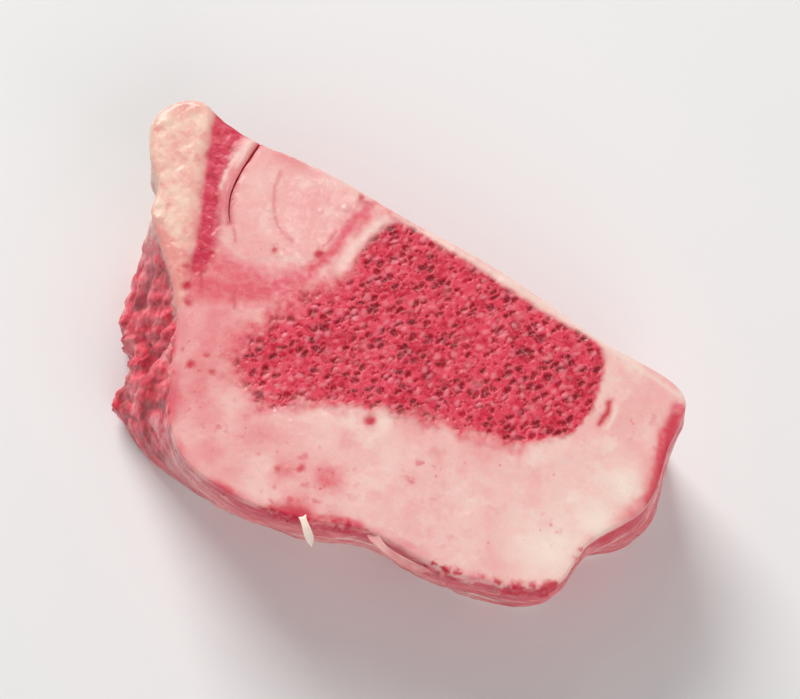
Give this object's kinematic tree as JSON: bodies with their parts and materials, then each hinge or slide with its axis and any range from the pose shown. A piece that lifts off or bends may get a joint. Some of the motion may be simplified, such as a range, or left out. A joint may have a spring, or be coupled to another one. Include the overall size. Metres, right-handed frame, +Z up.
{
  "type": "raw veal bone",
  "caption": "Sawn slab of raw veal backbone: pale cartilage round a red spongy core, with growth cartilage, a meat strip and a fat edge at one end, lying on a saw cut.",
  "frame": {"origin": "centre of the bounding box, on the flat lower saw cut that the piece lies on", "axes": "+X along the long side, from the fat end to the blunt end; +Y from the rounded front to the straight back; +Z up, out of the upper saw cut"},
  "size_m": [0.108, 0.0626, 0.0307],
  "materials": {
    "cartilage": "moist, smooth and slightly translucent pale pink cartilage and compact bone",
    "spongy_bone": "moist red spongy bone, finely pitted by the saw",
    "growth_cartilage": "moist, glassy pale cartilage",
    "meat": "moist raw veal with fine fibres",
    "fat": "waxy cream-pink raw fat with wet highlights"
  },
  "bodies": {
    "root": {"cartilage_shell": "cartilage", "spongy_core": "spongy_bone", "growth_plate": "growth_cartilage", "meat_strip": "meat", "fat_edge": "fat", "side_meat": "meat"}
  },
  "joints": []
}
